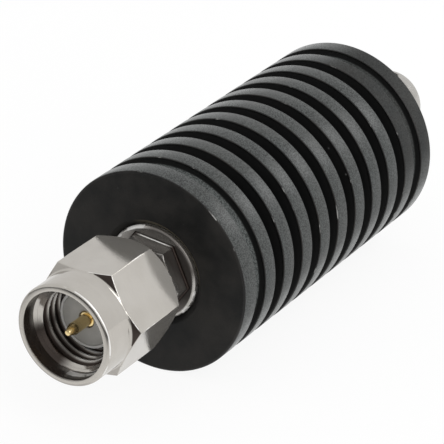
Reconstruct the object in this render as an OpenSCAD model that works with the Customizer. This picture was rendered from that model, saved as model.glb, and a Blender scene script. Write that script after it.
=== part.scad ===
// Fixed coaxial attenuator: a finned round heat sink with a screw-on plug at one end and a
// threaded jack at the other. Millimetres, +Z up. The common axis runs along Y, the plug points
// to -Y, and the origin is the plug's mating plane, where its outer conductor meets a jack.
// Threads are drawn as plain cylinders.

/* [Heat sink] */
// Diameter over the fins
sink_d = 16; // [14:0.1:24]
// Length from the front face to the rear face
sink_len = 28.5; // [24:0.1:45]
// Thickness of the plain disc at the plug end
front_plate_t = 1.85; // [1.7:0.05:3]
// Thickness of the plain disc at the jack end
rear_plate_t = 1.6; // [1.5:0.05:3]
// Distance from one cooling groove to the next
fin_pitch = 2.67; // [2:0.01:4]
// Width of a cooling groove
fin_groove_w = 1.2; // [0.6:0.05:1.6]
// Depth of a cooling groove below the fins
fin_groove_depth = 3; // [1:0.1:3.2]
// Width of the shallow groove next to each end disc
end_groove_w = 1; // [0.5:0.05:1.6]
// Depth of the shallow groove next to each end disc
end_groove_depth = 0.6; // [0.3:0.05:2]
// Broken edge on every fin
fin_edge = 0.1; // [0.02:0.01:0.2]
// Chamfer round the two end faces
rim_edge = 0.18; // [0.05:0.01:0.4]
// Bore that grips the cartridge
bore_d = 5.4; // [5:0.05:5.8]

/* [Connector seats] */
// Diameter of the flange on each connector body
flange_d = 7.5; // [7.5:0.05:8.5]
// Thickness of each flange
flange_t = 1.5; // [1:0.05:1.6]
// How far a flange stands out of the heat sink's face
flange_proud = 0.05; // [0:0.05:0.5]
// Chamfer on the outer edge of a flange
flange_edge = 0.25; // [0.05:0.05:0.5]
// Countersink round each flange in the heat sink's face
seat_edge = 0.4; // [0.1:0.05:0.8]
// Diameter of the threaded spigot behind each flange
spigot_d = 6; // [5.9:0.05:6.6]
// Length of each spigot
spigot_len = 3; // [2.6:0.1:5]
// Radial clearance round flanges, spigots and the cartridge
seat_clearance = 0.04; // [0.01:0.01:0.08]

/* [Plug] */
// Diameter of the outer conductor's bare end
barrel_d = 4.56; // [4.5:0.02:4.8]
// Length of that bare end, and depth of the jack that takes it
barrel_len = 1.95; // [1.6:0.05:2.4]
// Diameter of the shank that the nut turns on
shank_d = 5.4; // [5.3:0.05:5.6]
// Length of the shank
shank_len = 5; // [4.9:0.05:7]
// Diameter of the turned waist between the shank and the wrench neck
waist_d = 4.9; // [4.8:0.05:5.2]
// Length of that waist
waist_len = 0.8; // [0.5:0.05:0.9]
// Width across the flats of the wrench neck
plug_neck_af = 5.5; // [5.5:0.05:6.3]
// Length of the wrench neck
plug_neck_len = 1.45; // [1.2:0.05:3]
// Turn of the wrench neck about the axis
plug_neck_turn = 54; // [0:1:60]

/* [Coupling nut] */
// Width across the flats
nut_af = 8; // [7.6:0.05:9]
// Length of the hexagon
nut_hex_len = 5.85; // [4.5:0.05:7]
// Diameter of the round collar in front of the hexagon
collar_d = 7.86; // [7.5:0.02:8.4]
// Length of the collar
collar_len = 2.65; // [2:0.05:4]
// Diameter of the plain mouth
mouth_d = 6.8; // [6.6:0.05:7.1]
// Depth of the plain mouth
mouth_depth = 1.2; // [0.5:0.1:2]
// Pitch diameter of the internal thread
nut_thread_d = 5.9; // [5.8:0.01:6.2]
// Running clearance between the nut and the shank, on the radius
nut_clearance = 0.05; // [0.02:0.01:0.08]
// Thickness of the lip behind the retaining ring
nut_lip = 0.75; // [0.5:0.05:0.8]
// Turn of the hexagon about the axis
nut_turn = 2; // [0:1:60]
// Chamfer on the nut's edges
nut_edge = 0.18; // [0.05:0.01:0.3]

/* [Retaining ring] */
// Place of the ring behind the mating plane
ring_y = 4.5; // [4.3:0.05:4.6]
// Width of the ring along the axis
ring_w = 0.5; // [0.3:0.05:0.6]
// How deep the ring sits in the shank
ring_in = 0.3; // [0.2:0.05:0.35]
// How far the ring stands into the nut
ring_out = 0.3; // [0.2:0.05:0.4]
// Clearance of the ring in its two grooves
ring_float = 0.1; // [0.05:0.01:0.15]
// Open gap of the ring
ring_gap = 1.2; // [0.6:0.1:2]

/* [Jack] */
// Outside diameter of the thread
jack_thread_d = 6.35; // [6:0.05:6.6]
// Length of the thread
jack_thread_len = 5.5; // [4:0.1:8]
// Diameter of the plain lead-in in front of the thread
pilot_d = 5.3; // [5:0.05:5.6]
// Length of the plain lead-in
pilot_len = 0.6; // [0.3:0.05:1.5]
// Diameter of the thread relief
relief_d = 5.4; // [5:0.05:5.8]
// Length of the thread relief
relief_len = 0.6; // [0.3:0.05:1.5]
// Width across the flats of the wrench neck
jack_neck_af = 6.4; // [5.8:0.05:6.5]
// Length of the wrench neck
jack_neck_len = 1.7; // [1:0.05:3]
// Radial clearance between a plug's bare end and the jack
mating_clearance = 0.03; // [0.01:0.01:0.08]

/* [Centre conductor] */
// Diameter of the insulators
insulator_d = 4.1; // [3.9:0.02:4.16]
// Diameter of the insulators' rear shoulder
shoulder_d = 4.7; // [4.5:0.05:5]
// Length of the insulators' rear shoulder
shoulder_len = 2.4; // [1:0.1:2.5]
// Diameter of the contacts inside their insulators
contact_d = 1.27; // [1.1:0.01:1.5]
// Diameter of the collar that keeps a contact in its insulator
contact_collar_d = 1.8; // [1.6:0.05:2.2]
// Length of that collar
contact_collar_len = 0.8; // [0.4:0.1:2]
// Place of that collar behind the mating plane
contact_collar_y = 4.6; // [3.8:0.1:6]
// Diameter of the plug's pin
pin_d = 0.914; // [0.88:0.002:0.94]
// Length of the pin in front of the mating plane
pin_len = 2.35; // [1.6:0.05:2.4]
// Length of the pin's pointed tip
pin_tip_len = 0.7; // [0.2:0.05:0.9]
// Diameter of the flat at the very tip
pin_tip_d = 0.42; // [0.1:0.02:0.6]
// Depth of the jack's socket
socket_depth = 2.7; // [2.5:0.1:3.6]
// Radial clearance of a pin in the socket
socket_clearance = 0.013; // [0.005:0.001:0.03]
// Width of the socket's slits
slit_w = 0.13; // [0.08:0.01:0.15]
// Depth of the socket's slits
slit_depth = 2; // [1:0.1:2.4]
// Fit of contacts and insulators in their bores, on the radius
core_clearance = 0.02; // [0.01:0.005:0.04]

/* [Cartridge] */
// Width of the resistive card
card_w = 4; // [2:0.1:4.2]
// Thickness of the resistive card
card_t = 0.64; // [0.3:0.02:1]
// Gap from each end of the card to the connector in front of it
card_end_gap = 0.3; // [0.1:0.05:1]
// How far a contact's tab lies on the card
tab_len = 1; // [0.4:0.1:2]
// Clearance on each side of the card in its channel
card_clearance = 0.05; // [0.02:0.01:0.1]
// Height of the air space above the card
air_h = 1.3; // [0.9:0.1:1.6]

/* [Hidden] */
$fn = 96;

// How far a cutting shape runs past what it cuts
past = 0.2;

// Stations along the axis, from the plug's mating plane at 0
shank_y = barrel_len;
plug_neck_y = shank_y + shank_len;
plug_flange_y = plug_neck_y + plug_neck_len;
sink_y = plug_flange_y + flange_proud;
sink_end = sink_y + sink_len;
seat_depth = flange_t - flange_proud;
cartridge_y = sink_y + seat_depth + spigot_len;
cartridge_end = sink_end - seat_depth - spigot_len;
jack_len = flange_proud + jack_neck_len + relief_len + jack_thread_len + pilot_len;
jack_end = sink_end + jack_len;
jack_plane = jack_end - barrel_len;

// Nut stations: the ring's groove fixes where the nut sits
ring_room = ring_w / 2 + ring_float;
nut_end = ring_y + ring_room + nut_lip;
nut_hex_y = nut_end - nut_hex_len;
nut_y = nut_hex_y - collar_len;
nut_land = 1;
nut_relief_len = 1;
thread_room = 0.1;
nut_relief_d = jack_thread_d + thread_room;
nut_thread_end = ring_y - ring_room - nut_land - nut_relief_len;

// Heat sink grooves, each as start, width and floor radius
fin_t = fin_pitch - fin_groove_w;
first_groove = front_plate_t + end_groove_w + fin_t;
rear_groove = sink_len - rear_plate_t - end_groove_w;
groove_count = floor((rear_groove - first_groove) / fin_pitch);
end_floor_r = sink_d / 2 - end_groove_depth;
fin_floor_r = sink_d / 2 - fin_groove_depth;
fin_grooves = [for (i = [0:groove_count - 1]) [first_groove + i * fin_pitch, fin_groove_w, fin_floor_r]];
grooves = concat([[front_plate_t, end_groove_w, end_floor_r]], fin_grooves,
                 [[rear_groove, end_groove_w, end_floor_r]]);

// Mating radii that two pieces share
seat_r = flange_d / 2 + seat_clearance;
spigot_bore_r = spigot_d / 2 + seat_clearance;
insulator_bore_r = insulator_d / 2 + core_clearance;
shoulder_bore_r = shoulder_d / 2 + core_clearance;
contact_bore_r = contact_d / 2 + core_clearance;
nut_bore_r = shank_d / 2 + nut_clearance;
ring_r_in = shank_d / 2 - ring_in;
ring_r_out = nut_bore_r + ring_out;
socket_r = pin_d / 2 + socket_clearance;
shoulder_y = cartridge_y - shoulder_len;
jack_shoulder_y = cartridge_end + shoulder_len;
card_y = cartridge_y + card_end_gap;
card_end = cartridge_end - card_end_gap;
jack_collar_y = jack_plane - contact_collar_y;

// A solid turned about the axis from a list of [radius, station]
module turned(profile) {
    rotate([-90, 0, 0]) rotate_extrude() polygon(profile);
}

// A hexagonal bar along the axis with one corner at the given turn
module hex_bar(af, y0, y1, turn) {
    translate([0, y0, 0]) rotate([-90, 0, 0]) rotate([0, 0, -turn])
        cylinder(d = af / cos(30), h = y1 - y0, $fn = 6);
}

// The space a hexagon keeps when its end at y_cut is turned to a cone that starts at the inner radius
module cone_end(af, inner, y_cut, y_far, lean) {
    side = y_far > y_cut ? 1 : -1;
    outer = af / 2 / cos(30) + past;
    rise = (outer - inner) * tan(lean);
    turned([[0, y_cut], [inner, y_cut], [outer, y_cut + side * rise], [outer, y_far], [0, y_far]]);
}

// The insulator's bore through a wrench neck
module core(y0, y1) {
    turned([[0, y0 - past], [insulator_bore_r, y0 - past], [insulator_bore_r, y1 + past], [0, y1 + past]]);
}

// The wall of one groove, from fin edge to fin edge
function groove_wall(start, width, floor_r, r) =
    [[r, start - fin_edge], [r - fin_edge, start], [floor_r, start], [floor_r, start + width],
     [r - fin_edge, start + width], [r, start + width + fin_edge]];

// The stepped bore that takes one connector, from the face inwards
function seat_bore(face, side) =
    [[seat_r + seat_edge, face], [seat_r, face + side * seat_edge], [seat_r, face + side * seat_depth],
     [spigot_bore_r, face + side * seat_depth], [spigot_bore_r, face + side * (seat_depth + spigot_len)],
     [bore_d / 2, face + side * (seat_depth + spigot_len)]];

function reversed(list) = [for (i = [len(list) - 1:-1:0]) list[i]];

module heat_sink() {
    r = sink_d / 2;
    fins = [for (g = grooves) each groove_wall(g[0], g[1], g[2], r)];
    outside = concat([[r - rim_edge, 0], [r, rim_edge]], fins,
                     [[r, sink_len - rim_edge], [r - rim_edge, sink_len]]);
    inside = concat(seat_bore(sink_len, -1), reversed(seat_bore(0, 1)));
    color("#232325") translate([0, sink_y, 0]) turned(concat(outside, inside));
}

module plug_body() {
    flange_r = flange_d / 2;
    groove_y = ring_y - ring_room;
    groove_end = ring_y + ring_room;
    step_edge = 0.12;
    rim_break = 0.06;
    seat_y = sink_y + seat_depth;
    waist_y = plug_neck_y - waist_len;
    waist_step = (shank_d - waist_d) / 2;
    outside = [[barrel_d / 2 - rim_break, 0], [barrel_d / 2, rim_break], [barrel_d / 2, shank_y],
               [shank_d / 2 - step_edge, shank_y], [shank_d / 2, shank_y + step_edge],
               [shank_d / 2, groove_y], [ring_r_in - core_clearance, groove_y],
               [ring_r_in - core_clearance, groove_end], [shank_d / 2, groove_end],
               [shank_d / 2, waist_y - waist_step], [waist_d / 2, waist_y],
               [waist_d / 2, plug_flange_y], [flange_r - flange_edge, plug_flange_y],
               [flange_r, plug_flange_y + flange_edge], [flange_r, seat_y], [spigot_d / 2, seat_y],
               [spigot_d / 2, cartridge_y]];
    inside = [[shoulder_bore_r, cartridge_y], [shoulder_bore_r, shoulder_y],
              [insulator_bore_r, shoulder_y], [insulator_bore_r, 0]];
    color("#c2bfb8") {
        turned(concat(outside, inside));
        difference() {
            intersection() {
                hex_bar(plug_neck_af, plug_neck_y, plug_flange_y, plug_neck_turn);
                cone_end(plug_neck_af, waist_d / 2, plug_neck_y, plug_flange_y, 45);
            }
            core(plug_neck_y, plug_flange_y);
        }
    }
}

module coupling_nut() {
    mouth_r = mouth_d / 2;
    thread_r = nut_thread_d / 2;
    collar_r = collar_d / 2;
    thread_y = nut_y + mouth_depth;
    lead = mouth_r - thread_r;
    mouth_break = 0.08;
    groove_y = ring_y - ring_room;
    groove_end = ring_y + ring_room;
    groove_r = ring_r_out + ring_float;
    bore = [[0, nut_y - past], [mouth_r + mouth_break + past, nut_y - past],
            [mouth_r, nut_y + mouth_break], [mouth_r, thread_y], [thread_r, thread_y + lead],
            [thread_r, nut_thread_end], [nut_relief_d / 2, nut_thread_end],
            [nut_relief_d / 2, groove_y - nut_land], [nut_bore_r, groove_y - nut_land],
            [nut_bore_r, groove_y], [groove_r, groove_y], [groove_r, groove_end],
            [nut_bore_r, groove_end], [nut_bore_r, nut_end + past], [0, nut_end + past]];
    color("#c9c6bf") difference() {
        union() {
            turned([[0, nut_y], [collar_r - nut_edge, nut_y], [collar_r, nut_y + nut_edge],
                    [collar_r, nut_hex_y + nut_edge], [0, nut_hex_y + nut_edge]]);
            intersection() {
                hex_bar(nut_af, nut_hex_y, nut_end, nut_turn);
                cone_end(nut_af, nut_af / 2, nut_hex_y, nut_end, 30);
                cone_end(nut_af, nut_af / 2, nut_end, nut_hex_y, 45);
            }
        }
        turned(bore);
    }
}

module retaining_ring() {
    y0 = ring_y - ring_w / 2;
    y1 = ring_y + ring_w / 2;
    color("#b8923f") difference() {
        turned([[ring_r_in, y0], [ring_r_out, y0], [ring_r_out, y1], [ring_r_in, y1]]);
        translate([-ring_gap / 2, y0 - past, -2 * ring_r_out])
            cube([ring_gap, ring_w + 2 * past, 2 * ring_r_out]);
    }
}

// An insulator from its mating face at plane to the inner end of its shoulder
module insulator(plane, shoulder_start, shoulder_stop, collar_y) {
    shoulder_side = shoulder_stop > shoulder_start ? 1 : -1;
    pocket = contact_collar_len / 2 + core_clearance;
    collar_r = contact_collar_d / 2 + core_clearance;
    step = shoulder_start + shoulder_side * core_clearance;
    outside = [[insulator_d / 2, plane], [insulator_d / 2, step], [shoulder_d / 2, step],
               [shoulder_d / 2, shoulder_stop]];
    inside = [[contact_bore_r, shoulder_stop], [contact_bore_r, collar_y + shoulder_side * pocket],
              [collar_r, collar_y + shoulder_side * pocket], [collar_r, collar_y - shoulder_side * pocket],
              [contact_bore_r, collar_y - shoulder_side * pocket], [contact_bore_r, plane]];
    color("#b9b8b4") turned(concat(outside, inside));
}

module plug_insulator() insulator(0, shoulder_y, cartridge_y, contact_collar_y);

module jack_insulator() insulator(jack_plane, jack_shoulder_y, cartridge_end, jack_collar_y);

// The lower half of a contact's inner end, which is milled away where it lies on the card
module tab_cut(y0, y1) {
    translate([-contact_d, y0, -2 * contact_d]) cube([2 * contact_d, y1 - y0, 2 * contact_d]);
}

module plug_contact() {
    r = contact_d / 2;
    collar_r = contact_collar_d / 2;
    collar_y = contact_collar_y - contact_collar_len / 2;
    collar_end = contact_collar_y + contact_collar_len / 2;
    tab_end = card_y + tab_len;
    color("#d3a94e") difference() {
        turned([[0, -pin_len], [pin_tip_d / 2, -pin_len], [pin_d / 2, pin_tip_len - pin_len],
                [pin_d / 2, 0], [r, 0], [r, collar_y], [collar_r, collar_y], [collar_r, collar_end],
                [r, collar_end], [r, tab_end], [0, tab_end]]);
        tab_cut(cartridge_y, tab_end + past);
    }
}

module jack_contact() {
    r = contact_d / 2;
    collar_r = contact_collar_d / 2;
    collar_y = jack_collar_y - contact_collar_len / 2;
    collar_end = jack_collar_y + contact_collar_len / 2;
    tab_end = card_end - tab_len;
    socket_end = jack_plane - socket_depth;
    drill_slope = 31;
    drill_tip = socket_r * tan(drill_slope);
    color("#d3a94e") difference() {
        turned([[0, tab_end], [r, tab_end], [r, collar_y], [collar_r, collar_y], [collar_r, collar_end],
                [r, collar_end], [r, jack_plane], [socket_r, jack_plane], [socket_r, socket_end],
                [0, socket_end - drill_tip]]);
        tab_cut(tab_end - past, cartridge_end);
        for (turn = [45, 135])
            rotate([0, turn, 0])
                translate([-slit_w / 2, jack_plane - slit_depth, -contact_d])
                    cube([slit_w, slit_depth + past, 2 * contact_d]);
    }
}

module jack_body() {
    flange_r = flange_d / 2;
    flange_face = sink_end + flange_proud;
    neck_end = flange_face + jack_neck_len;
    thread_y = neck_end + relief_len;
    pilot_y = jack_end - pilot_len;
    step = (jack_thread_d - pilot_d) / 2;
    pilot_break = 0.1;
    seat_y = sink_end - seat_depth;
    outside = [[spigot_d / 2, cartridge_end], [spigot_d / 2, seat_y], [flange_r, seat_y],
               [flange_r, flange_face - flange_edge], [flange_r - flange_edge, flange_face],
               [relief_d / 2, flange_face], [relief_d / 2, thread_y],
               [jack_thread_d / 2, thread_y + (jack_thread_d - relief_d) / 2],
               [jack_thread_d / 2, pilot_y - step], [pilot_d / 2, pilot_y],
               [pilot_d / 2, jack_end - pilot_break], [pilot_d / 2 - pilot_break, jack_end]];
    counterbore_r = barrel_d / 2 + mating_clearance;
    inside = [[counterbore_r, jack_end], [counterbore_r, jack_plane], [insulator_bore_r, jack_plane],
              [insulator_bore_r, jack_shoulder_y], [shoulder_bore_r, jack_shoulder_y],
              [shoulder_bore_r, cartridge_end]];
    color("#c6c3bc") {
        turned(concat(outside, inside));
        difference() {
            intersection() {
                hex_bar(jack_neck_af, flange_face, neck_end, plug_neck_turn);
                cone_end(jack_neck_af, jack_neck_af / 2, neck_end, flange_face, 30);
            }
            core(flange_face, neck_end);
        }
    }
}

// The round cartridge that the two carrier halves make together
module cartridge() {
    carrier_r = bore_d / 2 - seat_clearance;
    turned([[0, cartridge_y], [carrier_r, cartridge_y], [carrier_r, cartridge_end], [0, cartridge_end]]);
}

// A cut along the whole cartridge, of the given width and between two heights
module cartridge_cut(width, z0, z1) {
    translate([-width / 2, cartridge_y - past, z0])
        cube([width, cartridge_end - cartridge_y + 2 * past, z1 - z0]);
}

module carrier_lower() {
    color("#c9a45a") difference() {
        cartridge();
        cartridge_cut(2 * bore_d, -card_t, bore_d);
    }
}

module carrier_upper() {
    color("#c9a45a") difference() {
        cartridge();
        cartridge_cut(2 * bore_d, -bore_d, -card_t);
        cartridge_cut(card_w + 2 * card_clearance, -bore_d, air_h);
    }
}

module attenuator_card() {
    color("#e6e4dd") translate([-card_w / 2, card_y, -card_t])
        cube([card_w, card_end - card_y, card_t]);
}

heat_sink();
plug_body();
coupling_nut();
retaining_ring();
plug_insulator();
plug_contact();
jack_body();
jack_insulator();
jack_contact();
carrier_lower();
carrier_upper();
attenuator_card();
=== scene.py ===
# %% [markdown]
# # A finned coaxial attenuator
# The object is a small plug-in attenuator: a black finned heat sink with a steel plug and its
# coupling nut in front, and a threaded jack behind. Every piece is turned about one axis, which
# runs along Y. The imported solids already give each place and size. They could be shown as they
# are, but a lathe leaves rounded edges and real threads, so the seen pieces are turned again here
# with those, and each metal gets its own finish.

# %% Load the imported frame
import math

import bmesh
import bpy
from mathutils import Matrix, Vector


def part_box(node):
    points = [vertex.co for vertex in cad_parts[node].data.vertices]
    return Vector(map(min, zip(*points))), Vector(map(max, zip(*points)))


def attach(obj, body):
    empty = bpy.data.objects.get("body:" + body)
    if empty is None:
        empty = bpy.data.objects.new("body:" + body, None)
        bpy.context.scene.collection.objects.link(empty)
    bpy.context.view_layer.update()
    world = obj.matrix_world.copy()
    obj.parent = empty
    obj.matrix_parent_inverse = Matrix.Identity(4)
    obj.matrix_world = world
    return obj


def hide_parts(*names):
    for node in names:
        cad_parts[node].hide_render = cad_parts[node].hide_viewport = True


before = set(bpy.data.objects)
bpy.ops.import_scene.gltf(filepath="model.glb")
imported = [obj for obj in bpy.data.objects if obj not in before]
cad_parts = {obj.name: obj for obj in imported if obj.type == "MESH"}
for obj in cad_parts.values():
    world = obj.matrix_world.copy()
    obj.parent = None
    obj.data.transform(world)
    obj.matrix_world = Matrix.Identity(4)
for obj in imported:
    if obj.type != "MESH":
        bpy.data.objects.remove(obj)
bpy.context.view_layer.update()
mm = 0.001
scene = bpy.context.scene
print("packed nodes:", ", ".join(sorted(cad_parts)))

# %% [markdown]
# ## The camera
# The photograph looks at the plug's mouth from the right and from above, through a long lens.
# A camera can be aimed by hand, but the outline of the heat sink fixes it exactly: the azimuth,
# height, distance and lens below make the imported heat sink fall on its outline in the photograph.

# %% Place the camera
view_azimuth = math.radians(31.84)
view_height = math.radians(26.43)
view_distance = 191.33 * mm
aim_right = 5.131 * mm
aim_up = 3.703 * mm
lens_mm = 211.92

sink_low, sink_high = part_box("heat_sink")
back = Vector((math.sin(view_azimuth) * math.cos(view_height),
               -math.cos(view_azimuth) * math.cos(view_height), math.sin(view_height)))
right = Vector((math.cos(view_azimuth), math.sin(view_azimuth), 0.0))
aim = Vector((0.0, sink_low.y, 0.0)) + right * aim_right + back.cross(right) * aim_up

camera_data = bpy.data.cameras.new("camera")
camera_data.sensor_width = 36.0
camera_data.lens = lens_mm
camera_data.clip_start = 10 * mm
camera = bpy.data.objects.new("camera", camera_data)
camera.location = aim + back * view_distance
camera.rotation_mode = "QUATERNION"
camera.rotation_quaternion = (-back).to_track_quat("-Z", "Y")
scene.collection.objects.link(camera)
scene.camera = camera
print("camera at", [round(c / mm, 1) for c in camera.location], "mm")

# %% [markdown]
# ## Small helpers for node trees
# Every finish below is a handful of nodes. Making and wiring each one by hand takes four lines,
# so one helper makes a node, sets its options and fills its inputs, and takes a socket where an
# input comes from another node.

# %% Node helpers
def add_node(tree, kind, inputs=None, **options):
    made = tree.nodes.new(kind)
    for name, value in options.items():
        setattr(made, name, value)
    for name, value in (inputs or {}).items():
        if isinstance(value, bpy.types.NodeSocket):
            tree.links.new(value, made.inputs[name])
        else:
            made.inputs[name].default_value = value
    return made


def calculate(tree, operation, first, second=0.0):
    made = add_node(tree, "ShaderNodeMath", {0: first, 1: second}, operation=operation)
    return made.outputs[0]


def scaled_range(tree, value, low, high, to_low=0.0, to_high=1.0):
    limits = {"From Min": low, "From Max": high, "To Min": to_low, "To Max": to_high}
    made = add_node(tree, "ShaderNodeMapRange", {"Value": value, **limits}, interpolation_type="SMOOTHSTEP")
    return made.outputs["Result"]


def mix_colours(tree, share, first, second):
    factor, colour_a, colour_b, colour_out = 0, 6, 7, 2
    made = add_node(tree, "ShaderNodeMix", {factor: share, colour_a: first, colour_b: second},
                    data_type="RGBA")
    return made.outputs[colour_out]


print("node helpers ready")

# %% [markdown]
# ## Studio light
# The steel mirrors its surroundings, so the room is half of its look: white all round, and dim
# straight in front, which draws the dark lines along the rounded edges. Lamps alone would leave
# black holes in the reflections. A world that fades from white to dim gives the soft room, and two
# lamps on the right, a tall one above and a small one behind, give the highlights and the shadow.

# %% Make the room and the lamps
scene.view_settings.view_transform = "Standard"
room_white = (0.86, 0.86, 0.86, 1.0)
room_dim = (0.05, 0.05, 0.05, 1.0)
dim_side = Vector((-0.15, -0.97, 0.12)).normalized()
dim_start = 0.86
dim_full = 0.96

room = bpy.data.worlds.new("studio_room")
room.use_nodes = True
tree = room.node_tree
tree.nodes.clear()
direction = add_node(tree, "ShaderNodeTexCoord").outputs["Generated"]
towards = add_node(tree, "ShaderNodeVectorMath", {0: direction, 1: dim_side}, operation="DOT_PRODUCT")
dimness = scaled_range(tree, towards.outputs["Value"], dim_start, dim_full)
light = add_node(tree, "ShaderNodeBackground",
                 {"Color": mix_colours(tree, dimness, room_white, room_dim), "Strength": 1.0})
add_node(tree, "ShaderNodeOutputWorld", {"Surface": light.outputs[0]})
scene.world = room


def soft_lamp(name, place, width, height, watts):
    data = bpy.data.lights.new(name, "AREA")
    data.shape = "ELLIPSE"
    data.size = width
    data.size_y = height
    data.energy = watts
    lamp = bpy.data.objects.new(name, data)
    lamp.location = place
    lamp.rotation_mode = "QUATERNION"
    lamp.rotation_quaternion = (Vector((0.0, 20 * mm, 0.0)) - lamp.location).to_track_quat("-Z", "Y")
    lamp.visible_camera = False
    scene.collection.objects.link(lamp)
    return lamp


lamps = [soft_lamp("right_lamp", Vector((0.88, -0.27, 0.70)), 0.65, 1.2, 4.2),
         soft_lamp("rear_lamp", Vector((0.048, 0.088, 0.048)), 0.045, 0.045, 0.011)]
print("studio room with", ", ".join(lamp.name for lamp in lamps))

# %% [markdown]
# ## The floor
# The part lies on its fins on a white table, and a flat grid at the height of the lowest fin is all
# that it takes. More light would whiten the table but bleach the part. So the camera and mirror
# rays see mostly plain white there, and the lit share that is left keeps the shadow. A photographer
# lays a dark card in front of bright metal to draw its edges: mirror rays find one in front.

# %% Lay the floor
floor_half = 2.0
card_near = 9 * mm
card_far = 34 * mm
plain_white = 0.9
floor_mesh = bpy.data.meshes.new("floor")
bm = bmesh.new()
bmesh.ops.create_grid(bm, x_segments=1, y_segments=1, size=floor_half)
bmesh.ops.translate(bm, vec=(0.0, 0.0, sink_low.z), verts=bm.verts)
bm.to_mesh(floor_mesh)
bm.free()
floor = bpy.data.objects.new("floor", floor_mesh)
scene.collection.objects.link(floor)

floor_paint = bpy.data.materials.new("floor_paint")
floor_paint.use_nodes = True
tree = floor_paint.node_tree
lit_floor = tree.nodes["Principled BSDF"]
lit_floor.inputs["Base Color"].default_value = (0.95, 0.95, 0.95, 1.0)
lit_floor.inputs["Roughness"].default_value = 0.9
lit_floor.inputs["Specular IOR Level"].default_value = 0.1
ray = add_node(tree, "ShaderNodeLightPath").outputs
on_floor = add_node(tree, "ShaderNodeTexCoord").outputs["Object"]
floor_place = add_node(tree, "ShaderNodeSeparateXYZ", {0: on_floor})
in_front = scaled_range(tree, floor_place.outputs["Y"], -card_near, -card_far)
card_share = calculate(tree, "MULTIPLY", in_front, ray["Is Glossy Ray"])
floor_tone = mix_colours(tree, card_share, (1.0, 1.0, 1.0, 1.0), room_dim)
white_floor = add_node(tree, "ShaderNodeEmission", {"Color": floor_tone, "Strength": 1.0})
seen = calculate(tree, "MAXIMUM", ray["Is Camera Ray"], ray["Is Glossy Ray"])
seen = calculate(tree, "MAXIMUM", seen, ray["Is Transmission Ray"])
white_share = calculate(tree, "MULTIPLY", seen, plain_white)
floor_mix = add_node(tree, "ShaderNodeMixShader",
                     {0: white_share, 1: lit_floor.outputs[0], 2: white_floor.outputs[0]})
tree.links.new(floor_mix.outputs[0], tree.nodes["Material Output"].inputs["Surface"])
floor_mesh.materials.append(floor_paint)
print("floor at z", round(sink_low.z / mm, 2), "mm")

# %% [markdown]
# ## Surface effects shared by the finishes
# Three effects come back on several metals. Turning leaves fine rings about the axis. Blasting and
# handling leave a fine grain with a few pale specks. Use rubs the finish off the rounded edges, and
# the same pale mark paints light and highlights where a piece marks them.
# Image maps could hold them, but a node group works them out from Object coordinates at any
# distance, and each finish places the group with its own values.

# %% Begin a node group
def begin_group(name, inputs, outputs):
    group = bpy.data.node_groups.new(name, "ShaderNodeTree")
    for socket, value in inputs.items():
        made = group.interface.new_socket(socket, in_out="INPUT", socket_type="NodeSocketFloat")
        made.default_value = value
    for socket in outputs:
        group.interface.new_socket(socket, in_out="OUTPUT", socket_type="NodeSocketFloat")
    entry = group.nodes.new("NodeGroupInput")
    leave = group.nodes.new("NodeGroupOutput")
    return group, entry.outputs, leave.inputs


def object_place(tree):
    return add_node(tree, "ShaderNodeTexCoord").outputs["Object"]


print("node groups can be begun")

# %% Turning rings
rings_group, given, result = begin_group(
    "turning_rings", {"Rings per Metre": 12000.0}, ["Height", "Tone", "Radius"])
place = add_node(rings_group, "ShaderNodeSeparateXYZ", {0: object_place(rings_group)})
radius = calculate(rings_group, "SQRT", calculate(
    rings_group, "ADD", calculate(rings_group, "MULTIPLY", place.outputs["X"], place.outputs["X"]),
    calculate(rings_group, "MULTIPLY", place.outputs["Z"], place.outputs["Z"])))
across = calculate(rings_group, "MULTIPLY", radius, given["Rings per Metre"])
along = calculate(rings_group, "MULTIPLY", place.outputs["Y"], given["Rings per Metre"])
drift = calculate(rings_group, "MULTIPLY", place.outputs["X"], 150.0)
ring_place = add_node(rings_group, "ShaderNodeCombineXYZ", {"X": across, "Y": along, "Z": drift})
ring_noise = add_node(rings_group, "ShaderNodeTexNoise",
                      {"Vector": ring_place.outputs[0], "Scale": 1.0, "Detail": 3.0, "Roughness": 0.6})
rings_group.links.new(radius, result["Radius"])
rings_group.links.new(ring_noise.outputs["Fac"], result["Height"])
rings_group.links.new(scaled_range(rings_group, ring_noise.outputs["Fac"], 0.3, 0.7), result["Tone"])
print("group", rings_group.name)

# %% Blasted grain and specks
grain_group, given, result = begin_group(
    "fine_grain", {"Grain Scale": 9000.0, "Patch Scale": 260.0, "Speck Scale": 900.0},
    ["Height", "Patch", "Speck"])
here = object_place(grain_group)
grain_noise = add_node(grain_group, "ShaderNodeTexNoise",
                       {"Vector": here, "Scale": given["Grain Scale"], "Detail": 2.0, "Roughness": 0.55})
patch_noise = add_node(grain_group, "ShaderNodeTexNoise",
                       {"Vector": here, "Scale": given["Patch Scale"], "Detail": 4.0, "Roughness": 0.55})
speck_cells = add_node(grain_group, "ShaderNodeTexVoronoi", {"Vector": here, "Scale": given["Speck Scale"]})
speck_dot = scaled_range(grain_group, speck_cells.outputs["Distance"], 0.08, 0.03)
speck_pick = add_node(grain_group, "ShaderNodeSeparateColor", {0: speck_cells.outputs["Color"]})
speck_rare = calculate(grain_group, "GREATER_THAN", speck_pick.outputs[0], 0.82)
grain_group.links.new(grain_noise.outputs["Fac"], result["Height"])
grain_group.links.new(scaled_range(grain_group, patch_noise.outputs["Fac"], 0.32, 0.68), result["Patch"])
grain_group.links.new(calculate(grain_group, "MULTIPLY", speck_dot, speck_rare), result["Speck"])
print("group", grain_group.name)
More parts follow.
